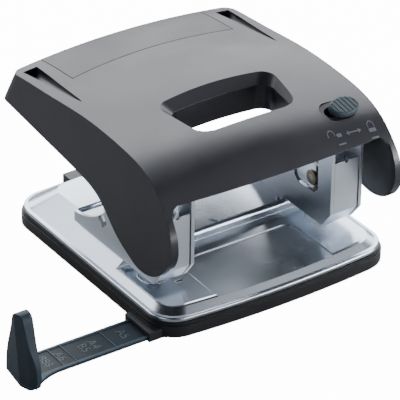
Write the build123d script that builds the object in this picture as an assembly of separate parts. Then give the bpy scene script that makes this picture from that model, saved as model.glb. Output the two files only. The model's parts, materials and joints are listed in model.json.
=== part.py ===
from build123d import *
import os
from math import cos, radians, sin

# Two-hole paper punch. X runs along the line of the two holes, Y runs from the paper's
# side (front, -Y) to the hand's side (rear, +Y), and Z is up from the table.
# The origin is on the table, under the middle of the hole line.

# Paper and holes
hole_spacing = 80.0
hole_radius = 2.75
paper_margin = 12.0
paper_slot = 4.2
floor_height = 11.0

# Stamped base plate
base_sheet = 1.2
base_half_width = 54.0
base_front = -27.8
base_rear = 82.0
base_front_bow = 3.2
base_rear_bow = 1.6
base_corner = 12.0
base_skirt_bottom = 6.9
rim_inset = 1.6
rim_run = 9.84
crest_share = 0.45
rim_roll = 0.8
plateau_roll = 1.9
floor_roll = 2.2
rear_step = 1.2
rear_step_y = 50.0
recess_half_width = 27.8
recess_back = 3.2
recess_depth = 0.5
flange_drop = 2.4
thumb_notch_half_width = 30.0
thumb_notch_depth = 16.0
thumb_notch_corner = 9.0
arrow_side = 4.6
arrow_rise = 0.35
rivet_radius = 1.6
rivet_head_radius = 2.9
rivet_head_height = 1.1
rivet_inset = 8.0
locating_tab_gap = 2.0
locating_tab_radius = 1.1

# Chip tray and paper guide
tray_margin = 1.0
tray_wall = 1.8
tray_floor = 0.5
tray_gap = 0.3
tray_ledge = 1.2
guide_width = 14.6
guide_thickness = 1.5
guide_rear = -9.4
guide_clearance = 0.2
sleeve_reach = 3.4
stop_inner_x = -110.5
stop_thickness = 4.8
stop_height = 32.2
stop_rear = -10.5
stop_front = -31.6
stop_top_y = -23.0
flare_length = 12.0
guide_length = 113.0
guide_border = 1.2
guide_marks = (-95.2, -89.6, -72.0)
channel_wall = 1.4
channel_roof = 1.2

# Folded steel frames that carry the punch pins
frame_width = 15.2
frame_sheet = 1.5
frame_floor = 1.2
frame_front = -16.6
frame_rear = 45.5
frame_rear_height = 4.4
frame_chamfer = 5.4
frame_chamfer_height = 7.0
frame_head_radius = 4.0
flap_height = 34.0
flap_inset = 0.4
flap_nick = 1.0
window_front = -7.8
window_rear = 8.0
window_bottom = 16.4
window_top = 36.0
square_hole = 4.6
square_hole_y = 24.8
square_hole_height = 14.5
pin_guide_bottom = 26.5

# Hinge, lever and pins
axle_height = 45.2
axle_radius = 2.0
axle_reach = 0.9
clip_thickness = 0.6
clip_width = 1.5
running_clearance = 0.05
push_y = 1.5
roller_radius = 4.0
roller_pin_radius = 1.5
roller_side_gap = 0.3
pin_head_radius = 4.5
pin_head_top = 40.0
cross_pin_height = 20.0
cross_pin_radius = 1.4
cross_pin_reach = 5.2
bush_radius = 3.1
bush_thickness = 1.2
washer_radius = 3.8
washer_thickness = 0.8
spring_wire = 0.42
spring_turns = 6
lever_sheet = 1.5
lever_height = 50.0
lever_rear = 58.0
lever_side_gap = 0.5
ear_radius = 3.8
screw_radius = 1.1
screw_head_radius = 2.5
screw_places = [(38.0, 34.0), (38.0, 53.0), (16.0, -13.0)]
boss_radius = 3.2
die_radius = 6.3
die_depth = 2.6

# Handle cover
cover_wall = 2.4
cover_half_width = 55.5
cover_half_width_height = 15.0
cover_draft = 0.075
cover_crown = 3.0
cover_rear = 90.3
cover_rear_height = 42.8
cover_rear_lean = 0.5
cover_rear_bow = 3.0
cover_front_edge = 47.0
lobe_radius = 18.6
lobe_y = -15.0
lobe_height = 33.4
slot_rear = 18.0
slot_front = -6.2
slot_rear_half_width = 24.0
slot_front_half_width = 20.5
slot_corner = 5.5
slot_bevel = 3.8
collar_bottom = 48.0
panel_front = 60.5
panel_half_width = 38.5
panel_thickness = 1.2
panel_gap = 0.3
flute_x = 46.2
flute_front = 40.0
flute_rear = 80.0
flute_height = 57.6
flute_radius = 3.2
flute_tilt = 4.7
flute_skin = 1.4

# Lock slider
slider_x = 38.6
slider_y = -14.2
slider_height = 57.4
slider_length = 13.0
slider_width = 9.0
slider_travel = 4.0
slider_tilt = 23.0
slider_rise = 1.7
slider_clearance = 0.35
slider_grooves = 6
groove_pitch = 1.9
groove_width = 0.6
groove_turn = 12.0
slider_pocket_depth = 0.9
stem_length = 8.4
stem_width = 4.3
bar_thickness = 0.9

# Places that follow from the sizes above
plateau_height = paper_slot
side_centre = hole_spacing / 2
inner_x = side_centre - frame_width / 2
outer_x = side_centre + frame_width / 2
plate_in = inner_x + frame_sheet
plate_out = outer_x - frame_sheet
frame_bottom = floor_height + plateau_height
axle_y = frame_front + frame_head_radius
roller_height = pin_head_top + 0.1 + roller_radius
washer_top = cross_pin_height - cross_pin_radius
lever_in = plate_in + lever_side_gap
lever_out = plate_out - lever_side_gap
lever_bottom = floor_height + lever_height
lever_top = lever_bottom + lever_sheet
bar_bottom = lever_top + 0.35
guide_front = guide_rear - guide_width
guide_bottom = tray_floor + 0.1
guide_top = guide_bottom + guide_thickness
sleeve_x = -(base_half_width + tray_margin + sleeve_reach)


def z(height):
    """Height above the table of something given above the paper floor."""
    return floor_height + height


def box(x0, x1, y0, y1, z0, z1):
    """Solid block between two corners."""
    middle = Pos((x0 + x1) / 2, (y0 + y1) / 2, (z0 + z1) / 2)
    return middle * Box(x1 - x0, y1 - y0, z1 - z0)


def rod_x(x0, x1, y, height, radius):
    """Round bar along X."""
    turned = Pos((x0 + x1) / 2, y, height) * Rot(0, 90, 0)
    return turned * Cylinder(radius, x1 - x0)


def rod_z(x, y, z0, z1, radius):
    """Round bar along Z."""
    return Pos(x, y, (z0 + z1) / 2) * Cylinder(radius, z1 - z0)


def side_shape(edges, x0, x1):
    """Prism along X from a closed outline of edges drawn in Y and Z."""
    face = Plane.YZ.offset(x0) * Face(Wire(edges))
    return extrude(face, x1 - x0, dir=(1, 0, 0))


def both_sides(shape):
    """The shape and its mirror image across the middle plane, as separate solids."""
    return Compound(children=[*shape.solids(), *mirror(shape, Plane.YZ).solids()])


def left_of(shape):
    """Mirror image across the middle plane."""
    return mirror(shape, Plane.YZ)


# ---------------------------------------------------------------- base plate

def base_outline(inset, corner):
    """Plan of the base, set in from the plate's edge, with bowed front and rear."""
    half = base_half_width - inset
    front = base_front + inset
    rear = base_rear - inset
    near = [(-half, front), (half, front)]
    far = [(half, rear), (-half, rear)]
    edges = [
        ThreePointArc(near[0], (0, front - base_front_bow), near[1]),
        Line(near[1], far[0]),
        ThreePointArc(far[0], (0, rear + base_rear_bow), far[1]),
        Line(far[1], near[0]),
    ]
    face = Face(Wire(edges))
    return face.fillet_2d(corner, face.vertices())


def base_steps(sheet):
    """The pressed form of the base plate, moved in by the sheet's thickness for its inside."""
    bottom = base_skirt_bottom - sheet
    foot = z(-flange_drop) - sheet
    top = z(plateau_height + rear_step) - sheet
    inset = rim_inset + sheet
    flange = Pos(0, 0, bottom) * extrude(base_outline(sheet, base_corner - sheet), foot - bottom)
    top_inset = inset + rim_run
    hill = loft([
        Pos(0, 0, foot) * base_outline(inset, base_corner - inset),
        Pos(0, 0, top) * base_outline(top_inset, base_corner - crest_share * top_inset),
    ], ruled=True)
    ahead = base_front - 20
    hill -= box(-90, 90, ahead, paper_margin + sheet, z(0) - sheet, top + 1)
    hill -= box(-90, 90, ahead, rear_step_y + sheet, z(plateau_height) - sheet, top + 1)
    return flange, hill


def level_edges(solid, height):
    """Edges of a solid that lie in one level plane."""
    return solid.edges().filter_by_position(Axis.Z, height - 0.01, height + 0.01)


def pressed_form():
    """Outside of the base plate, with every pressed edge rolled."""
    flange, hill = base_steps(0)
    hill = fillet(level_edges(hill, z(plateau_height + rear_step)), rim_roll)
    brow = level_edges(hill, z(plateau_height)).filter_by_position(Axis.Y, -99, rear_step_y - 0.5)
    hill = fillet(brow, plateau_roll)
    lip = level_edges(hill, z(0)).filter_by_position(Axis.Y, -99, paper_margin - 0.5)
    hill = fillet(lip, floor_roll)
    flange = fillet(level_edges(flange, z(-flange_drop)), rim_roll)
    return flange + hill


def thumb_notch(clearance, bottom, top):
    """Rounded notch in the middle of the rear edge, where a thumb pulls the tray open."""
    width = 2 * (thumb_notch_half_width - clearance)
    depth = 2 * (thumb_notch_depth - clearance)
    shape = extrude(RectangleRounded(width, depth, thumb_notch_corner), top - bottom)
    return Pos(0, base_rear + base_rear_bow, bottom) * shape


def paper_arrow():
    """Raised triangle on the paper stop that marks the middle of the sheet."""
    shape = extrude(Triangle(a=arrow_side, b=arrow_side, c=arrow_side, rotation=180), arrow_rise)
    return Pos(0, paper_margin + 4.0, z(plateau_height)) * shape


def base_plate():
    inner_flange, inner_hill = base_steps(base_sheet)
    solid = pressed_form() - inner_flange - inner_hill
    recess_front = base_front - base_front_bow + rim_inset + 0.6
    recess = Pos(0, (recess_back + recess_front) / 2, z(-recess_depth)) * extrude(
        RectangleRounded(2 * recess_half_width, recess_back - recess_front, 5.0), 3.5)
    solid -= recess
    solid -= thumb_notch(0.0, 0, z(20))
    for x in (-side_centre, side_centre):
        solid -= rod_z(x, 0, 0, z(1), die_radius)
        for y in rivet_places():
            solid -= rod_z(x, y, 0, z(8), rivet_radius)
    solid -= box(-35.6, -32.7, -9.5, -8.3, z(-3), z(1))
    tab_x = inner_x - locating_tab_gap
    for x in (-tab_x, tab_x):
        solid += rod_z(x, paper_margin + 3.2, z(plateau_height) - 0.5,
                       z(plateau_height) + 0.9, locating_tab_radius)
    return solid + paper_arrow()


def rivet_places():
    """Y places of the rivets that fix each frame to the plateau."""
    return (paper_margin + rivet_inset, frame_rear - rivet_inset)


def frame_rivets():
    solids = []
    upper = frame_bottom + frame_floor
    lower = frame_bottom - base_sheet
    for y in rivet_places():
        rivet = rod_z(side_centre, y, lower, upper, rivet_radius)
        rivet += rod_z(side_centre, y, upper, upper + rivet_head_height, rivet_head_radius)
        rivet += rod_z(side_centre, y, lower - rivet_head_height, lower, rivet_head_radius)
        solids.append(rivet)
    return both_sides(Compound(children=solids))


def die():
    """Hardened ring that the punch pin shears the paper against."""
    solid = rod_z(side_centre, 0, z(-die_depth), z(0), die_radius)
    solid = chamfer(solid.edges().group_by(Axis.Z)[-1], 0.3)
    return solid - rod_z(side_centre, 0, 0, z(1), hole_radius + running_clearance)


# ---------------------------------------------------------------- chip tray and guide

def tray_slab(inset, bottom, top):
    corner = max(base_corner + 1.0 - inset, 3.0)
    return Pos(0, 0, bottom) * extrude(base_outline(inset - tray_margin, corner), top - bottom)


def chip_tray():
    top = base_skirt_bottom - tray_gap
    solid = tray_slab(0, 0, top - tray_ledge)
    solid = chamfer(solid.edges().group_by(Axis.Z)[0], 0.8)
    solid += tray_slab(tray_ledge * 0.5, top - tray_ledge - 0.5, top)
    solid -= tray_slab(tray_wall, 1.6, top + 1)
    ceiling = guide_top + guide_clearance + channel_roof
    margin = guide_clearance + channel_wall
    channel_front = guide_front - margin
    channel_rear = guide_rear + margin
    channel = box(-base_half_width, base_half_width, channel_front, channel_rear, 0, ceiling)
    solid += channel & tray_slab(0.5, 0, top)
    solid += box(sleeve_x, -base_half_width + 6, channel_front + 0.7, channel_rear, 0, ceiling + 0.5)
    solid -= box(sleeve_x - 5, base_half_width - 1.0, guide_front - guide_clearance,
                 guide_rear + guide_clearance, tray_floor, guide_top + guide_clearance)
    thumb_tab = thumb_notch(0.8, 0, z(0.8)) & tray_slab(0.3, 0, z(5))
    return solid + thumb_tab


def fin_plan(height, lean, shift):
    """Faceted plan of the stop: flat inside, three facets outside."""
    x = stop_inner_x
    deep = x - stop_thickness - lean
    points = [
        (x, 0),
        (deep + 2.2, stop_rear + 3),
        (deep, stop_rear - 13.2 + shift),
        (deep + 1.5, stop_front + 2.4 + shift),
        (x - 0.9, stop_front - 2),
        (x, stop_front - 2),
    ]
    return Pos(0, 0, height) * Face(Polyline(*points, close=True).wire())


def fin_outline():
    """Side outline of the stop: broad at its foot and rounded at its top."""
    low = guide_bottom
    heel = (stop_rear, low)
    ankle = (stop_rear - 0.3, low + 2.5)
    back_middle = (stop_rear - 3.4, stop_height * 0.47)
    back_shoulder = (stop_top_y + 3.9, stop_height - 4.2)
    top = (stop_top_y, stop_height)
    front_shoulder = (stop_top_y - 3.6, stop_height - 4.2)
    front_middle = (stop_front + 1.9, stop_height * 0.5)
    instep = (stop_front, low + 5.5)
    toe = (stop_front + 4.6, low)
    return [
        Line(heel, ankle),
        Spline(ankle, back_middle, back_shoulder, top, tangents=[(-0.1, 1), (-1, 0)]),
        Spline(top, front_shoulder, front_middle, instep, tangents=[(-1, 0), (0, -1)]),
        Spline(instep, toe, tangents=[(0, -1), (1, 0)]),
        Line(toe, heel),
    ]


def stop_fin():
    """Sail-shaped stop at the end of the guide, with three facets on its outer side."""
    body = loft([fin_plan(guide_bottom, 0, 0), fin_plan(stop_height + 1, 1.0, 2.0)], ruled=True)
    fin = body & side_shape(fin_outline(), stop_inner_x - 12, stop_inner_x + 1)
    outer = [
        edge for edge in fin.edges()
        if edge.center().X < stop_inner_x - 0.5 and edge.center().Z > guide_bottom + 1
    ]
    return fillet(outer, 0.5)


def paper_guide():
    inner_end = stop_inner_x + guide_length
    solid = box(stop_inner_x - 1.0, inner_end, guide_front, guide_rear, guide_bottom, guide_top)
    flare = [
        Line((stop_inner_x - 1, guide_front - 5.6), (stop_inner_x - 1, guide_front + 1)),
        Line((stop_inner_x - 1, guide_front + 1), (stop_inner_x + flare_length, guide_front + 1)),
        Line((stop_inner_x + flare_length, guide_front + 1), (stop_inner_x + flare_length, guide_front)),
        ThreePointArc((stop_inner_x + flare_length, guide_front), (stop_inner_x + 5.0, guide_front - 1.8),
                      (stop_inner_x - 1, guide_front - 5.6)),
    ]
    solid += Pos(0, 0, guide_bottom) * extrude(Face(Wire(flare)), guide_thickness, dir=(0, 0, 1))
    solid -= box(stop_inner_x + 3.0, inner_end - 4.0, guide_front + guide_border,
                 guide_rear - guide_border, guide_top - 0.3, guide_top + 1)
    for x in guide_marks:
        solid += box(x - 0.25, x + 0.25, guide_front + 1.0, guide_rear - 1.0, guide_top - 0.5, guide_top)
    return solid + stop_fin()


# ---------------------------------------------------------------- frames and pins

def plate_outline():
    """Outline of a frame's side plate in Y and Z."""
    head_z = z(axle_height)
    slope = radians(50)
    toe = (frame_front + frame_chamfer, frame_bottom)
    chin = (frame_front, frame_bottom + frame_chamfer_height)
    brow = (frame_front, head_z)
    half = radians(-45)
    temple = (axle_y + frame_head_radius * sin(half), head_z + frame_head_radius * cos(half))
    crown = (axle_y, head_z + frame_head_radius)
    nape = (axle_y + frame_head_radius * sin(slope), head_z + frame_head_radius * cos(slope))
    nape_middle = (axle_y + frame_head_radius * sin(slope / 2), head_z + frame_head_radius * cos(slope / 2))
    back = (frame_rear - 25.0, frame_bottom + 18.0)
    back_middle = (frame_rear - 13.0, frame_bottom + 8.2)
    tail = (frame_rear, frame_bottom + frame_rear_height)
    heel = (frame_rear, frame_bottom)
    return [
        Line(toe, chin),
        Line(chin, brow),
        ThreePointArc(brow, temple, crown),
        ThreePointArc(crown, nape_middle, nape),
        Line(nape, back),
        ThreePointArc(back, back_middle, tail),
        Line(tail, heel),
        Line(heel, toe),
    ]


def flap_outline():
    """Front flap of a frame, folded up from its floor, in Y and Z."""
    front = frame_front + flap_inset
    thick = frame_floor
    toe = frame_front + frame_chamfer
    chin = frame_bottom + frame_chamfer_height
    points = [
        (toe, frame_bottom),
        (front, chin),
        (front, z(flap_height)),
        (front + thick, z(flap_height)),
        (front + thick, chin + 0.4),
        (toe + 0.5, frame_bottom + thick),
        (toe + 2, frame_bottom + thick),
        (toe + 2, frame_bottom),
    ]
    return [Line(a, b) for a, b in zip(points, points[1:] + points[:1])]


def frame():
    """Right-hand frame: two side plates, a floor and a front flap folded from one sheet."""
    solid = side_shape(plate_outline(), inner_x, plate_in)
    solid += side_shape(plate_outline(), plate_out, outer_x)
    toe = frame_front + frame_chamfer
    solid += box(plate_in, plate_out, toe, frame_rear - 4, frame_bottom, frame_bottom + frame_floor)
    flap = side_shape(flap_outline(), plate_in + flap_inset, plate_out - flap_inset)
    flap -= Pos(side_centre, frame_front, z(flap_height)) * Rot(90, 0, 0) * Cylinder(flap_nick, 6)
    solid += flap
    window = box(inner_x - 1, plate_in + 1, window_front, window_rear, z(window_bottom), z(window_top))
    solid -= chamfer(window.edges().filter_by(Axis.X), 2.4)
    square = Rot(45, 0, 0) * Box(6, square_hole, square_hole)
    solid -= Pos(outer_x, square_hole_y, z(square_hole_height)) * square
    solid -= rod_x(inner_x - 1, outer_x + 1, axle_y, z(axle_height), axle_radius)
    solid -= rod_z(side_centre, 0, frame_bottom - 1, frame_bottom + 3, hole_radius + running_clearance)
    for y in rivet_places():
        solid -= rod_z(side_centre, y, frame_bottom - 1, frame_bottom + 3, rivet_radius)
    return solid


def hinge_axles():
    return both_sides(rod_x(inner_x - axle_reach, outer_x + axle_reach, axle_y, z(axle_height), axle_radius))


def axle_clips():
    thick = clip_thickness
    solids = []
    for x in (inner_x - thick, outer_x):
        ring = rod_x(x, x + thick, axle_y, z(axle_height), axle_radius + clip_width)
        ring -= rod_x(x - 1, x + thick + 1, axle_y, z(axle_height), axle_radius)
        ring -= box(x - 1, x + thick + 1, axle_y - 0.8, axle_y + 0.8, z(axle_height) - 5, z(axle_height))
        solids.append(ring)
    return both_sides(Compound(children=solids))


def pin_guide():
    """Upper guide of a punch pin: a plate between the frame's sides with a collar."""
    bottom = z(pin_guide_bottom)
    solid = box(plate_in, plate_out, -6.5, 6.5, bottom + 1.5, bottom + 3.0)
    solid += rod_z(side_centre, 0, bottom, bottom + 4.0, hole_radius + 1.8)
    return solid - rod_z(side_centre, 0, bottom - 1, bottom + 6, hole_radius + running_clearance)


def punch_pin():
    bottom = frame_bottom + 0.1
    solid = rod_z(side_centre, 0, bottom, z(pin_head_top), hole_radius)
    head = rod_z(side_centre, 0, z(pin_head_top) - 2.0, z(pin_head_top), pin_head_radius)
    solid += chamfer(head.edges().group_by(Axis.Z)[-1], 0.4)
    hollow = Pos(side_centre, 0, bottom) * Rot(0, 90, 0) * Cylinder(1.6, 8)
    solid -= Pos(0, 0, -1.0) * hollow
    return solid - rod_x(side_centre - 5, side_centre + 5, 0, z(cross_pin_height), cross_pin_radius)


def cross_pin():
    return rod_x(side_centre - cross_pin_reach, side_centre + cross_pin_reach, 0,
                 z(cross_pin_height), cross_pin_radius)


def cross_bushes():
    """Collars on the two ends of a cross pin."""
    thick = bush_thickness
    solids = []
    for x in (side_centre - cross_pin_reach, side_centre + cross_pin_reach - thick):
        ring = rod_x(x, x + thick, 0, z(cross_pin_height), bush_radius)
        ring -= rod_x(x - 1, x + thick + 1, 0, z(cross_pin_height), cross_pin_radius)
        solids.append(ring)
    return Compound(children=solids)


def spring_washer():
    top = z(washer_top)
    solid = rod_z(side_centre, 0, top - washer_thickness, top, washer_radius)
    return solid - rod_z(side_centre, 0, top - 3, top + 1, hole_radius)


def return_spring():
    wire = spring_wire
    bottom = frame_bottom + frame_floor + wire + 0.05
    top = z(washer_top) - washer_thickness - wire - 0.05
    height = top - bottom
    path = Helix(pitch=height / spring_turns, height=height, radius=hole_radius + wire + 0.2)
    start = Plane(origin=path @ 0, z_dir=path % 0)
    coil = sweep(start * Circle(wire), path=path, is_frenet=True)
    return Pos(side_centre, 0, bottom) * coil


# ---------------------------------------------------------------- press lever

def flange_outline():
    """Hanging ear of the lever that holds the axle and the push roller, in Y and Z."""
    head_z = z(axle_height)
    ear = ear_radius
    low = head_z - ear
    rear = push_y + 5.0
    back = (axle_y - ear, head_z)
    back_middle = (axle_y - ear * cos(radians(45)), head_z - ear * sin(radians(45)))
    bottom = (axle_y, low)
    toe = (rear - 2.0, low)
    heel = (rear, low + 2.0)
    return [
        Line((axle_y - ear, lever_bottom + 0.5), back),
        ThreePointArc(back, back_middle, bottom),
        Line(bottom, toe),
        Line(toe, heel),
        Line(heel, (rear, lever_bottom + 0.5)),
        Line((rear, lever_bottom + 0.5), (axle_y - ear, lever_bottom + 0.5)),
    ]


def press_lever():
    """Steel plate under the cover, with a window round the grip slot and four hanging ears."""
    front = axle_y - ear_radius
    plate = box(-lever_out, lever_out, front, lever_rear, lever_bottom, lever_top)
    plate = fillet(plate.edges().filter_by(Axis.Z), 4.0)
    window_front = slot_front - slot_bevel + 0.6
    window_rear = slot_rear + 6.0
    window = Pos(0, (window_front + window_rear) / 2, lever_bottom - 1) * extrude(
        RectangleRounded(2 * (slot_rear_half_width + 3.8), window_rear - window_front, 4.0), 4)
    solid = plate - window
    ears = side_shape(flange_outline(), lever_in, lever_in + lever_sheet)
    ears += side_shape(flange_outline(), lever_out - lever_sheet, lever_out)
    ears -= rod_x(lever_in - 1, lever_out + 1, axle_y, z(axle_height), axle_radius + running_clearance)
    ears -= rod_x(lever_in - 1, lever_out + 1, push_y, z(roller_height), roller_pin_radius)
    solid = solid + ears + left_of(ears)
    for x, y in screw_places:
        for side in (x, -x):
            solid -= rod_z(side, y, lever_bottom - 1, lever_top + 1, screw_radius)
    return solid


def push_rollers():
    gap = lever_sheet + roller_side_gap
    roller = rod_x(lever_in + gap, lever_out - gap, push_y, z(roller_height), roller_radius)
    roller -= rod_x(inner_x, outer_x, push_y, z(roller_height), roller_pin_radius)
    return both_sides(roller)


def roller_pins():
    return both_sides(rod_x(lever_in, lever_out, push_y, z(roller_height), roller_pin_radius))


def cover_screws():
    solids = []
    for x, y in screw_places:
        screw = rod_z(x, y, lever_bottom, lever_top + 2.0, screw_radius)
        head = rod_z(x, y, lever_bottom - 1.5, lever_bottom, screw_head_radius)
        head = fillet(head.edges().group_by(Axis.Z)[0], 0.6)
        cross = box(x - 1.4, x + 1.4, y - 0.3, y + 0.3, lever_bottom - 2, lever_bottom - 0.8)
        cross += box(x - 0.3, x + 0.3, y - 1.4, y + 1.4, lever_bottom - 2, lever_bottom - 0.8)
        solids.append(screw + head - cross)
    return both_sides(Compound(children=solids))


# ---------------------------------------------------------------- handle cover

def top_section(x, inset):
    """Closed Y-Z section of the cover's crowned top at one X, moved in by inset."""
    rise = cover_crown * (1 - (x / 52.0) ** 2) - inset
    push = 0.35 * rise
    spots = [
        (100.0, 52.4), (84.0, 54.9), (58.0, 57.4), (30.0, 59.7), (6.0, 59.2),
        (-9.0, 57.2), (-19.5, 52.9), (-27.0, 46.0), (-31.6, 39.0),
    ]
    shifted = []
    for y, height in spots:
        share = max(0.0, min(1.0, (height - 30.0) / 28.0)) if y < 0 else 1.0
        out = push * (1 - share) * 2.0 if y < 0 else 0.0
        side = inset * (1 - share) if y < 0 else 0.0
        shifted.append((x, y - out + side, z(height + rise * share)))
    foot = (x, shifted[-1][1] - 1.6, z(31.0))
    curve = Spline(shifted + [foot], tangents=[(0, -1, 0.06), (0, -0.02, -1)])
    low = z(-8.0)
    return Wire([
        curve,
        Line(foot, (x, foot[1], low)),
        Line((x, foot[1], low), (x, shifted[0][1], low)),
        Line((x, shifted[0][1], low), shifted[0]),
    ])


def crowned_top(inset):
    """Solid under the cover's crowned top surface."""
    sections = [top_section(x, inset) for x in (-60.0, -30.0, 0.0, 30.0, 60.0)]
    return Solid.make_loft(sections)


def plan_face(height, inset):
    """Plan outline of the cover at one height: flat sides that lean in, a bowed rear edge."""
    half = cover_half_width - cover_draft * (height - cover_half_width_height) - inset
    rear = cover_rear - cover_rear_lean * (height - cover_rear_height) - inset
    front = -70.0
    corners = [(-half, front), (half, front), (half, rear), (-half, rear)]
    edges = [
        Line(corners[0], corners[1]),
        Line(corners[1], corners[2]),
        ThreePointArc(corners[2], (0, rear + cover_rear_bow), corners[3]),
        Line(corners[3], corners[0]),
    ]
    face = Face(Wire(edges))
    rear_corners = face.vertices().group_by(Axis.Y)[-1]
    return Pos(0, 0, z(height)) * face.fillet_2d(5.0 - min(inset, 2.0), rear_corners)


def plan_block(inset):
    return loft([plan_face(-9.0, inset), plan_face(70.0, inset)], ruled=True)


def cheek_outline():
    """Side outline of the cover below its top: lobe at the front, long straight edge behind."""
    centre = (lobe_y, z(lobe_height))
    start = (lobe_y - lobe_radius, z(lobe_height))
    low_angle = radians(-45)
    low_left = (centre[0] + lobe_radius * sin(low_angle), centre[1] - lobe_radius * cos(low_angle))
    bottom_angle = radians(22)
    bottom = (centre[0] + lobe_radius * sin(bottom_angle), centre[1] - lobe_radius * cos(bottom_angle))
    rear_end = (cover_rear, z(cover_rear_height - 1.6))
    elbow = (34.0, z(35.2))
    high = z(120.0)
    return [
        ThreePointArc(start, low_left, bottom),
        Spline([bottom, (4.0, z(21.8)), (14.5, z(29.6)), elbow],
               tangents=[(cos(bottom_angle), sin(bottom_angle)), (1, 0.12)]),
        Line(elbow, rear_end),
        Line(rear_end, (150, z(45.0))),
        Line((150, z(45.0)), (150, high)),
        Line((150, high), (start[0] - 60, high)),
        Line((start[0] - 60, high), (start[0] - 60, start[1])),
        Line((start[0] - 60, start[1]), start),
    ]


def slot_outline(grow_rear, grow_front):
    """Plan of the grip slot: a rounded trapezoid, wider towards the rear."""
    rear = slot_rear + grow_rear
    front = slot_front - grow_front
    wide = slot_rear_half_width + grow_rear
    narrow = slot_front_half_width + grow_rear
    corners = [(-narrow, front), (narrow, front), (wide, rear - 2.0), (-wide, rear - 2.0)]
    edges = [
        Line(corners[0], corners[1]),
        Line(corners[1], corners[2]),
        ThreePointArc(corners[2], (0, rear), corners[3]),
        Line(corners[3], corners[0]),
    ]
    face = Face(Wire(edges))
    return face.fillet_2d(slot_corner, face.vertices())


def slot_bevel_cut():
    """Wide bevel round the rear and sides of the grip slot."""
    low = Pos(0, 0, z(58.6)) * slot_outline(0, -0.5)
    high = Pos(0, 0, z(64.0)) * slot_outline(slot_bevel * 1.35, -0.5)
    return loft([low, high], ruled=True)


def on_slider():
    """Plane of the lock slider: centred on it, tilted like the cover there."""
    return Pos(slider_x, slider_y, z(slider_height)) * Rot(slider_tilt, 0, 0)


def slider_openings():
    """Stepped slot in the cover that the lock slider runs in."""
    play = 2 * slider_clearance
    pocket = SlotOverall(slider_length + slider_travel + play, slider_width + play)
    through = SlotOverall(stem_length + slider_travel + play, stem_width + play)
    solid = Pos(0, 0, -slider_pocket_depth) * extrude(pocket, 6) + Pos(0, 0, -12) * extrude(through, 20)
    return on_slider() * Pos(-slider_travel / 2, 0, 0) * solid


def lock_slider():
    """Ribbed oval button with a stem that reaches through the cover."""
    low = slider_clearance - slider_pocket_depth
    button = Pos(0, 0, low) * extrude(Ellipse(slider_length / 2, slider_width / 2), slider_rise - low)
    button = fillet(button.edges().group_by(Axis.Z)[-1], 1.1)
    for step in range(slider_grooves):
        x = (step - (slider_grooves - 1) / 2) * groove_pitch
        groove = Rot(0, 0, groove_turn) * Box(groove_width, slider_width + 3, 0.9)
        button -= Pos(x, 0, slider_rise + 0.3) * groove
    stem = Pos(0, 0, -9) * extrude(SlotOverall(stem_length, stem_width), 9 + low)
    under_bar = box(0, 90, -40, 20, 0, bar_bottom + bar_thickness)
    return on_slider() * (button + stem) - under_bar


def lock_bar():
    """Flat steel latch bar under the cover, moved by the slider."""
    return box(slider_x - 6, slider_x + 6, slider_y - 1.0, slider_y + 4.0,
               bar_bottom, bar_bottom + bar_thickness)


def flute(side, skin):
    """Finger groove along a rear corner, deepest at the rear, grown by a skin of plastic."""
    length = flute_rear - flute_front
    groove = Rot(-90 - flute_tilt, 0, 0) * Cone(0.3 + skin, flute_radius + skin, length + skin)
    return Pos(side * flute_x, (flute_front + flute_rear + skin) / 2, z(flute_height)) * groove


def panel_region(gap):
    """Plan of the inset panel, which runs to the cover's rear edge."""
    half = panel_half_width - gap
    front = panel_front + gap
    edges = [
        ThreePointArc((-half, front), (0, front + 3.0), (half, front)),
        Line((half, front), (half, 110)),
        Line((half, 110), (-half, 110)),
        Line((-half, 110), (-half, front)),
    ]
    return Pos(0, 0, z(40)) * extrude(Face(Wire(edges)), 40)


def cover_block():
    """The cover's outer form before it is hollowed."""
    prism = side_shape(cheek_outline(), -70, 70)
    return crowned_top(0) & plan_block(0) & prism


def handle_cover(block):
    cavity = crowned_top(cover_wall) & plan_block(cover_wall)
    solid = block - cavity
    half = cover_half_width - cover_wall - cover_draft * 30.0
    mouth = Pos(0, 0, z(cover_front_edge - 40.0)) * Rot(90, 0, 0) * extrude(
        RectangleRounded(2 * half, 80.0, 4.5), 60)
    solid -= mouth
    collar = Pos(0, 0, z(collar_bottom)) * extrude(slot_outline(2.0, 2.0), 30)
    solid += collar & block
    for x, y in screw_places:
        for side in (x, -x):
            solid += rod_z(side, y, lever_top, z(62), boss_radius) & block
            solid -= rod_z(side, y, lever_top - 1, lever_top + 2.2, screw_radius)
    solid -= Pos(0, 0, z(30)) * extrude(slot_outline(0, 0), 50)
    solid -= slot_bevel_cut()
    solid -= panel_region(0) & (block - crowned_top(panel_thickness + panel_gap))
    for side in (-1, 1):
        solid += flute(side, flute_skin) & block
        solid -= flute(side, 0)
    return solid - slider_openings()


def rear_panel(block):
    """Thin inset panel that lies flush in the cover's rear."""
    return (block - crowned_top(panel_thickness)) & panel_region(panel_gap)


os.makedirs("parts", exist_ok=True)


def write(name, shape):
    """Write one node's solids to its own file."""
    solids = shape.solids()
    result = solids[0] if len(solids) == 1 else Compound(children=list(solids))
    export_step(result, "parts/" + name + ".step")


cover_form = cover_block()
write("base_plate", base_plate())
write("frame_rivets", frame_rivets())
write("chip_tray", chip_tray())
write("paper_guide", paper_guide())
write("hinge_axles", hinge_axles())
write("axle_clips", axle_clips())
write("press_lever", press_lever())
write("push_rollers", push_rollers())
write("roller_pins", roller_pins())
write("cover_screws", cover_screws())
write("handle_cover", handle_cover(cover_form))
write("rear_panel", rear_panel(cover_form))
write("lock_slider", lock_slider())
write("lock_bar", lock_bar())
paired = {
    "die": die, "frame": frame, "pin_guide": pin_guide, "punch_pin": punch_pin,
    "cross_pin": cross_pin, "cross_bushes": cross_bushes, "spring_washer": spring_washer,
    "return_spring": return_spring,
}
for name, make in paired.items():
    right = make()
    write("right_" + name, right)
    write("left_" + name, left_of(right))
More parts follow.
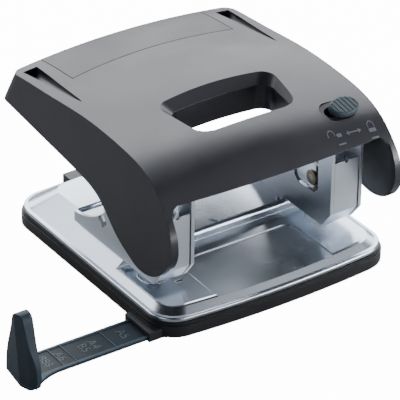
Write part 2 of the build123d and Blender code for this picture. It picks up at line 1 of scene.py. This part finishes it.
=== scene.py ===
import bpy
import json
from math import radians
from mathutils import Matrix, Vector


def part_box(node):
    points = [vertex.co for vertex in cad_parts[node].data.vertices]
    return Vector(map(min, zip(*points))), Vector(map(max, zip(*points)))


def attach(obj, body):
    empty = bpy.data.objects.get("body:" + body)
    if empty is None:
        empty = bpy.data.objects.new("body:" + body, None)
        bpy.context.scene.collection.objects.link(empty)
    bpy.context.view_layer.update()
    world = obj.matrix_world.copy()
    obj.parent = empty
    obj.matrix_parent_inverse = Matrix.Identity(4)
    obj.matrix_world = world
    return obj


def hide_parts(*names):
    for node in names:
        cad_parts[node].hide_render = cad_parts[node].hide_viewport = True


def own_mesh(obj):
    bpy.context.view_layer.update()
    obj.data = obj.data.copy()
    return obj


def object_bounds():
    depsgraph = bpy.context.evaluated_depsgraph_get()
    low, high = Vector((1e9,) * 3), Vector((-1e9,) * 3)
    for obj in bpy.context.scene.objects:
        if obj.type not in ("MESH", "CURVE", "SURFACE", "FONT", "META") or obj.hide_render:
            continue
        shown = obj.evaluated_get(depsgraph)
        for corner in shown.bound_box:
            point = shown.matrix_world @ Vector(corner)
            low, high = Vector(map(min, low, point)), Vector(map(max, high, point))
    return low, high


# Desk paper punch, in metres. X runs along the two holes, -Y is the paper's side, Z is up.

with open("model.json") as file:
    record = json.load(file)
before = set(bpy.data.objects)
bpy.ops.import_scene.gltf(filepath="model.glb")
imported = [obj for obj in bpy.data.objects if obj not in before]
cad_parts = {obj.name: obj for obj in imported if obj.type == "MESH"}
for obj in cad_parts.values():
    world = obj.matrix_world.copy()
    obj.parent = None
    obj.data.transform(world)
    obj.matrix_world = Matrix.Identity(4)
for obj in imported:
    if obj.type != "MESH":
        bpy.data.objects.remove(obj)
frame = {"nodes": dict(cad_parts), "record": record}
nodes = frame["nodes"]
start_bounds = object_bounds()

MM = 0.001


# ---------------------------------------------------------------- materials

BROAD_SCALE = 38.0
GRAIN_SHARE = 0.25
GLOSS_SPREAD = 0.08
LOWEST_GLOSS = 0.02
EDGE_RADIUS = 0.25 * MM
GRAIN_DEPTH = 0.02 * MM
RIDGE_REACH = 0.12 * MM
# Gain and lift of the painted highlight on a raised border's top.
HIGHLIGHT_GAIN = 2.6
HIGHLIGHT_LIFT = 0.02


def add(tree, kind, **values):
    """A shader node with its inputs set by name."""
    node = tree.nodes.new(kind)
    for name, value in values.items():
        node.inputs[name.replace("_", " ")].default_value = value
    return node


def ramp(tree, source, stops):
    """Colour ramp from pairs of place and grey or colour."""
    node = tree.nodes.new("ShaderNodeValToRGB")
    elements = node.color_ramp.elements
    while len(elements) < len(stops):
        elements.new(0.5)
    for element, (place, shade) in zip(elements, stops):
        element.position = place
        colour = shade if isinstance(shade, tuple) else (shade, shade, shade)
        element.color = (*colour, 1.0)
    tree.links.new(source, node.inputs["Fac"])
    return node.outputs["Color"]


def material(name, colour, metal, rough, shine=0.5, spread=0.06, grain_size=0.35, bump=0.15,
             ridge=None):
    """Surface with soft colour variation, uneven gloss and a fine moulded or rolled grain.

    The grain size is in mm. A ridge is the height in mm of a raised border, whose top
    is painted paler as a painted highlight."""
    made = bpy.data.materials.new(name)
    made.use_nodes = True
    tree = made.node_tree
    shader = tree.nodes["Principled BSDF"]
    place = tree.nodes.new("ShaderNodeTexCoord").outputs["Object"]
    broad = add(tree, "ShaderNodeTexNoise", Scale=BROAD_SCALE, Detail=3.0, Roughness=0.55)
    tree.links.new(place, broad.inputs["Vector"])
    fine = add(tree, "ShaderNodeTexNoise", Scale=1.0 / (grain_size * MM), Detail=4.0, Roughness=0.6)
    tree.links.new(place, fine.inputs["Vector"])
    low = tuple(max(0.0, c * (1 - spread)) for c in colour)
    high = tuple(min(1.0, c * (1 + spread)) for c in colour)
    tone = ramp(tree, broad.outputs["Fac"], [(0.32, low), (0.68, high)])
    # Painted highlight: a thin band at the ridge height is lightened, standing in for light catching the
    # edge.
    if ridge:
        split = tree.nodes.new("ShaderNodeSeparateXYZ")
        tree.links.new(place, split.inputs[0])
        near = add(tree, "ShaderNodeMath")
        near.operation = "COMPARE"
        near.inputs[1].default_value = ridge * MM
        near.inputs[2].default_value = RIDGE_REACH
        tree.links.new(split.outputs["Z"], near.inputs[0])
        mix = tree.nodes.new("ShaderNodeMix")
        mix.data_type = "RGBA"
        highlight_tone = (min(1.0, HIGHLIGHT_GAIN * c + HIGHLIGHT_LIFT) for c in colour)
        mix.inputs["B"].default_value = (*highlight_tone, 1.0)
        tree.links.new(near.outputs[0], mix.inputs["Factor"])
        tree.links.new(tone, mix.inputs["A"])
        tone = mix.outputs["Result"]
    tree.links.new(tone, shader.inputs["Base Color"])
    blend = tree.nodes.new("ShaderNodeMath")
    blend.operation = "MULTIPLY_ADD"
    blend.inputs[1].default_value = GRAIN_SHARE
    tree.links.new(fine.outputs["Fac"], blend.inputs[0])
    tree.links.new(broad.outputs["Fac"], blend.inputs[2])
    gloss = tree.nodes.new("ShaderNodeMapRange")
    gloss.inputs["From Min"].default_value = 0.3
    gloss.inputs["From Max"].default_value = 0.7 + GRAIN_SHARE
    gloss.inputs["To Min"].default_value = max(LOWEST_GLOSS, rough - GLOSS_SPREAD)
    gloss.inputs["To Max"].default_value = rough + GLOSS_SPREAD
    tree.links.new(blend.outputs[0], gloss.inputs["Value"])
    tree.links.new(gloss.outputs["Result"], shader.inputs["Roughness"])
    edge = add(tree, "ShaderNodeBevel", Radius=EDGE_RADIUS)
    relief = add(tree, "ShaderNodeBump", Strength=bump, Distance=GRAIN_DEPTH)
    tree.links.new(fine.outputs["Fac"], relief.inputs["Height"])
    tree.links.new(edge.outputs["Normal"], relief.inputs["Normal"])
    tree.links.new(relief.outputs["Normal"], shader.inputs["Normal"])
    shader.inputs["Metallic"].default_value = metal
    shader.inputs["Specular IOR Level"].default_value = shine
    return made


LOOKS = {
    "base_steel": dict(colour=(0.60, 0.65, 0.72), metal=1.0, rough=0.24, spread=0.03, grain_size=0.3),
    "frame_steel": dict(colour=(0.70, 0.74, 0.80), metal=1.0, rough=0.34, spread=0.03, grain_size=0.25),
    "lever_steel": dict(colour=(0.42, 0.43, 0.45), metal=1.0, rough=0.42),
    "hard_steel": dict(colour=(0.5, 0.5, 0.5), metal=1.0, rough=0.22),
    "fastener_steel": dict(colour=(0.55, 0.55, 0.56), metal=1.0, rough=0.3),
    "spring_steel": dict(colour=(0.42, 0.42, 0.43), metal=1.0, rough=0.3),
    "bush_brass": dict(colour=(0.42, 0.34, 0.22), metal=1.0, rough=0.32),
    "cover_plastic": dict(colour=(0.014, 0.014, 0.021), metal=0.0, rough=0.34, bump=0.1, grain_size=0.5),
    "panel_plastic": dict(colour=(0.014, 0.014, 0.021), metal=0.0, rough=0.38, bump=0.1, grain_size=0.4),
    "tray_plastic": dict(colour=(0.010, 0.010, 0.012), metal=0.0, rough=0.4, grain_size=0.6),
    # The guide's ridge at 2.1 mm gets a painted highlight along its top.
    "guide_plastic": dict(colour=(0.022, 0.036, 0.050), metal=0.0, rough=0.46, shine=0.25, grain_size=0.5,
                          ridge=2.1),
    "mark_print": dict(colour=(0.10, 0.105, 0.12), metal=0.0, rough=0.5, grain_size=0.3),
    "mark_moulded": dict(colour=(0.13, 0.17, 0.19), metal=0.0, rough=0.5, shine=0.3, grain_size=0.3),
    "slider_plastic": dict(colour=(0.045, 0.065, 0.08), metal=0.0, rough=0.5, shine=0.3, grain_size=0.4),
}
MATERIALS = {name: material(name, **look) for name, look in LOOKS.items()}
SLOTS = {s["node"]: s["material_slot"] for s in frame["record"]["subparts"]}


def paint(obj, look):
    """Give a piece one material and the record's slot of the same name."""
    obj.data.materials.clear()
    obj.data.materials.append(MATERIALS[look])


for name, obj in nodes.items():
    paint(obj, SLOTS[name])


# ---------------------------------------------------------------- mesh editing

def start_mesh():
    """Leave nothing selected before a new piece is begun."""
    if bpy.context.object and bpy.context.object.mode != "OBJECT":
        bpy.ops.object.mode_set(mode="OBJECT")
    bpy.ops.object.select_all(action="DESELECT")


def pick(obj):
    """Make one piece the only selected and the active one."""
    start_mesh()
    obj.select_set(True)
    bpy.context.view_layer.objects.active = obj


def open_mesh():
    """Begin to edit the active piece's whole mesh."""
    bpy.ops.object.mode_set(mode="EDIT")
    bpy.ops.mesh.select_all(action="SELECT")


def close_mesh():
    """End the editing of a mesh."""
    bpy.ops.object.mode_set(mode="OBJECT")


def settle(obj):
    """Put a finished piece's place, turn and size into its mesh."""
    pick(obj)
    bpy.ops.object.transform_apply(location=True, rotation=True, scale=True)


# ---------------------------------------------------------------- return springs

SPRING_WELD = 0.0005 * MM


def working_spring(side):
    """Copy of a return spring, smooth shaded and fixed to the base."""
    node = side + "_return_spring"
    obj = nodes[node].copy()
    obj.data = nodes[node].data.copy()
    obj.parent = None
    obj.matrix_world = Matrix.Identity(4)
    bpy.context.scene.collection.objects.link(obj)
    pick(obj)
    open_mesh()
    bpy.ops.mesh.remove_doubles(threshold=SPRING_WELD)
    close_mesh()
    bpy.ops.object.shade_smooth_by_angle(angle=radians(40))
    obj.name = side + "_spring_coil"
    paint(obj, "spring_steel")
    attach(obj, "base")
    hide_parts(node)
    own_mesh(obj)


for side in ("left", "right"):
    working_spring(side)


# ---------------------------------------------------------------- marks

MARK_START = start_bounds[1].z + 5 * MM
MARK_LIFT = 0.02 * MM
MARK_THICKNESS = 0.08 * MM
TEXT_RISE = 0.08 * MM
TEXT_WELD = 0.002 * MM


def bar_mark(x, y, length, width):
    """Flat bar, divided so that it can follow a curved surface."""
    start_mesh()
    bpy.ops.mesh.primitive_plane_add(size=1.0, location=(x, y, MARK_START))
    obj = bpy.context.object
    open_mesh()
    bpy.ops.transform.resize(value=(length, width, 1.0))
    bpy.ops.mesh.subdivide(number_cuts=5)
    close_mesh()
    return obj


def flat_disc(place, radius, sides):
    """Flat disc or, with three sides, a triangle."""
    start_mesh()
    bpy.ops.mesh.primitive_circle_add(vertices=sides, radius=radius, fill_type="NGON", location=place)
    return bpy.context.object


def arch_mark(x, y, radius, width):
    """Flat ring without its lowest part."""
    obj = flat_disc((x, y, MARK_START), radius, 28)
    open_mesh()
    bpy.ops.mesh.inset(thickness=width)
    bpy.ops.mesh.delete(type="FACE")
    bpy.ops.mesh.select_all(action="SELECT")
    bpy.ops.mesh.bisect(plane_co=(x, y - 0.3 * radius, 0), plane_no=(0, 1, 0), clear_inner=True)
    close_mesh()
    return obj


def arrow_mark(x, y, length, width):
    """Double-headed arrow."""
    parts = [bar_mark(x, y, length, width)]
    for side in (-1, 1):
        place = (x + side * length / 2, y, MARK_START)
        head = flat_disc(place, 2.2 * width, 3)
        open_mesh()
        bpy.ops.transform.rotate(value=side * radians(90), orient_axis="Z", center_override=place)
        close_mesh()
        parts.append(head)
    return parts


def lay_on(obj, target, name, body, look):
    """Lay a flat mark on a CAD surface below it as a thin raised skin."""
    settle(obj)
    wrap = obj.modifiers.new("wrap", "SHRINKWRAP")
    wrap.target = target
    wrap.wrap_method = "PROJECT"
    wrap.use_project_z = True
    wrap.use_negative_direction = True
    wrap.use_positive_direction = False
    wrap.offset = MARK_LIFT
    bpy.ops.object.modifier_apply(modifier="wrap")
    skin = obj.modifiers.new("skin", "SOLIDIFY")
    skin.thickness = MARK_THICKNESS
    skin.offset = 1.0
    bpy.ops.object.modifier_apply(modifier="skin")
    open_mesh()
    bpy.ops.mesh.normals_make_consistent(inside=False)
    close_mesh()
    obj.name = name
    paint(obj, look)
    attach(obj, body)


def moulded_text(words, x, y, base, size, name, body):
    """Low raised lettering that reads across the guide."""
    start_mesh()
    bpy.ops.object.text_add(location=(x, y, base), rotation=(0, 0, radians(-90)))
    text = bpy.context.object
    text.data.body = words
    text.data.size = size
    text.data.extrude = TEXT_RISE
    text.data.resolution_u = 4
    text.data.space_line = 0.8
    text.data.align_x = "CENTER"
    text.data.align_y = "CENTER"
    bpy.ops.object.convert(target="MESH")
    obj = bpy.context.object
    settle(obj)
    open_mesh()
    bpy.ops.mesh.remove_doubles(threshold=TEXT_WELD)
    bpy.ops.mesh.normals_make_consistent(inside=False)
    close_mesh()
    obj.name = name
    paint(obj, "mark_moulded")
    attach(obj, body)


# Two padlocks, one open and one closed, with an arrow between them, in front of the slider.
slider_low, slider_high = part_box("lock_slider")
mark_y = slider_low.y - 4.6 * MM
mark_x = (slider_low.x + slider_high.x) / 2
MARK_WIDTH = 0.42 * MM
BODY_WIDTH = 1.1 * MM
BODY_LENGTH = 3.4 * MM
ARCH_RADIUS = 1.7 * MM
arch_y = mark_y + 0.5 * MM
open_x = mark_x - 8.6 * MM
closed_x = mark_x + 7.0 * MM
marks = [
    arch_mark(mark_x - 12 * MM, arch_y, ARCH_RADIUS, MARK_WIDTH),
    bar_mark(open_x, mark_y, 2.4 * MM, BODY_WIDTH),
    bar_mark(open_x, mark_y - 2.6 * MM, BODY_LENGTH, MARK_WIDTH),
    *arrow_mark(mark_x - 1.6 * MM, mark_y, 5.4 * MM, MARK_WIDTH),
    arch_mark(closed_x, arch_y, ARCH_RADIUS, MARK_WIDTH),
    bar_mark(closed_x, mark_y - 0.8 * MM, BODY_LENGTH, BODY_WIDTH),
    bar_mark(closed_x, mark_y - 3.0 * MM, BODY_LENGTH, MARK_WIDTH),
]
for number, mark in enumerate(marks):
    lay_on(mark, nodes["handle_cover"], "lock_mark_%d" % number, "handle", "mark_print")

# Each label's words, its place along the guide from the stop's end, and its letter size, in mm.
LABELS = [("888", 16.4, 4.9), ("A6", 22.9, 4.9), ("A4\nB5", 35.6, 5.4), ("A5", 51.0, 5.2)]
GUIDE_REAR = -9.4 * MM
GUIDE_WIDTH = 14.6 * MM
guide_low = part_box("paper_guide")[0]
text_y = GUIDE_REAR - GUIDE_WIDTH / 2
text_z = guide_low.z + 1.22 * MM
for words, along, size in LABELS:
    moulded_text(words, guide_low.x + along * MM, text_y, text_z, size * MM,
                 "guide_label_" + words[:2], "guide")


# ---------------------------------------------------------------- surroundings

LIGHT_COLOUR = (0.94, 0.97, 1.0)
FLOOR_GLOW = 14.0
FLOOR_GAP = 0.2 * MM


def plain(name, colour, rough):
    """Even surface without grain."""
    made = bpy.data.materials.new(name)
    made.use_nodes = True
    shader = made.node_tree.nodes["Principled BSDF"]
    shader.inputs["Base Color"].default_value = (*colour, 1)
    shader.inputs["Roughness"].default_value = rough
    return made


def softbox(name, direction, distance, width, height, power, target=(0, 0, 0.03)):
    """Large soft area light that faces the object from one direction, in metres and watts."""
    light = bpy.data.lights.new(name, "AREA")
    light.shape = "RECTANGLE"
    light.size = width
    light.size_y = height
    light.energy = power
    light.color = LIGHT_COLOUR
    obj = bpy.data.objects.new(name, light)
    bpy.context.scene.collection.objects.link(obj)
    away = Vector(direction).normalized()
    obj.location = Vector(target) + away * distance
    obj.rotation_euler = away.to_track_quat("Z", "Y").to_euler()


def floor_material():
    """White studio floor that looks a little brighter than the light it gives back."""
    made = plain("floor_white", (0.35, 0.35, 0.35), 0.8)
    shader = made.node_tree.nodes["Principled BSDF"]
    shader.inputs["Emission Color"].default_value = (1, 1, 1, 1)
    seen = made.node_tree.nodes.new("ShaderNodeLightPath").outputs["Is Camera Ray"]
    glow = made.node_tree.nodes.new("ShaderNodeMath")
    glow.operation = "MULTIPLY"
    glow.inputs[1].default_value = FLOOR_GLOW
    made.node_tree.links.new(seen, glow.inputs[0])
    made.node_tree.links.new(glow.outputs[0], shader.inputs["Emission Strength"])
    return made


def studio_world(front, rear):
    """Surroundings that are dark in front and above and lighter behind."""
    world = bpy.data.worlds.new("studio")
    bpy.context.scene.world = world
    world.use_nodes = True
    tree = world.node_tree
    direction = tree.nodes.new("ShaderNodeTexCoord").outputs["Generated"]
    split = tree.nodes.new("ShaderNodeSeparateXYZ")
    tree.links.new(direction, split.inputs[0])
    level = tree.nodes.new("ShaderNodeMapRange")
    level.inputs["From Min"].default_value = -0.2
    level.inputs["From Max"].default_value = 0.8
    level.inputs["To Min"].default_value = front
    level.inputs["To Max"].default_value = rear
    tree.links.new(split.outputs["Y"], level.inputs["Value"])
    tree.links.new(level.outputs["Result"], tree.nodes["Background"].inputs["Strength"])


bpy.ops.mesh.primitive_plane_add(size=6)
floor = bpy.context.object
floor.name = "floor"
floor.location.z = start_bounds[0].z - FLOOR_GAP
floor.data.materials.append(floor_material())

softbox("back_box", (0.45, 0.72, 0.52), 1.6, 3.0, 1.3, 55)
softbox("top_box", (0.45, 0.40, 0.80), 1.6, 1.8, 0.36, 12)
softbox("left_box", (-0.62, 0.62, 0.48), 1.6, 1.0, 0.9, 8)
softbox("front_top", (0.30, -0.55, 0.70), 1.5, 2.0, 0.7, 3.2)
softbox("front_card", (0.55, -0.8, 0.04), 1.6, 1.6, 0.34, 20)
softbox("front_floor", (0.75, -0.6, 0.28), 0.8, 0.5, 0.2, 5, target=(0.06, -0.12, 0))
softbox("left_fill", (-1.0, -0.3, 0.5), 1.8, 0.8, 0.5, 4)
studio_world(0.05, 0.35)


# ---------------------------------------------------------------- camera

CAMERA_PLACE = Vector((-0.5881, -0.8250, 0.6391))
CAMERA_RIGHT = Vector((0.82696, -0.56213, 0.01201))
CAMERA_UP = Vector((0.28063, 0.43116, 0.85753))
CAMERA_LENS = 271.6

eye = bpy.data.cameras.new("camera")
eye.lens = CAMERA_LENS
eye.sensor_width = 36
eye.clip_start = 0.05
eye.clip_end = 20
camera = bpy.data.objects.new("camera", eye)
bpy.context.scene.collection.objects.link(camera)
back = CAMERA_RIGHT.cross(CAMERA_UP).normalized()
turn = Matrix((CAMERA_RIGHT, back.cross(CAMERA_RIGHT), back)).transposed()
camera.matrix_world = Matrix.Translation(CAMERA_PLACE) @ turn.to_4x4()
bpy.context.scene.camera = camera
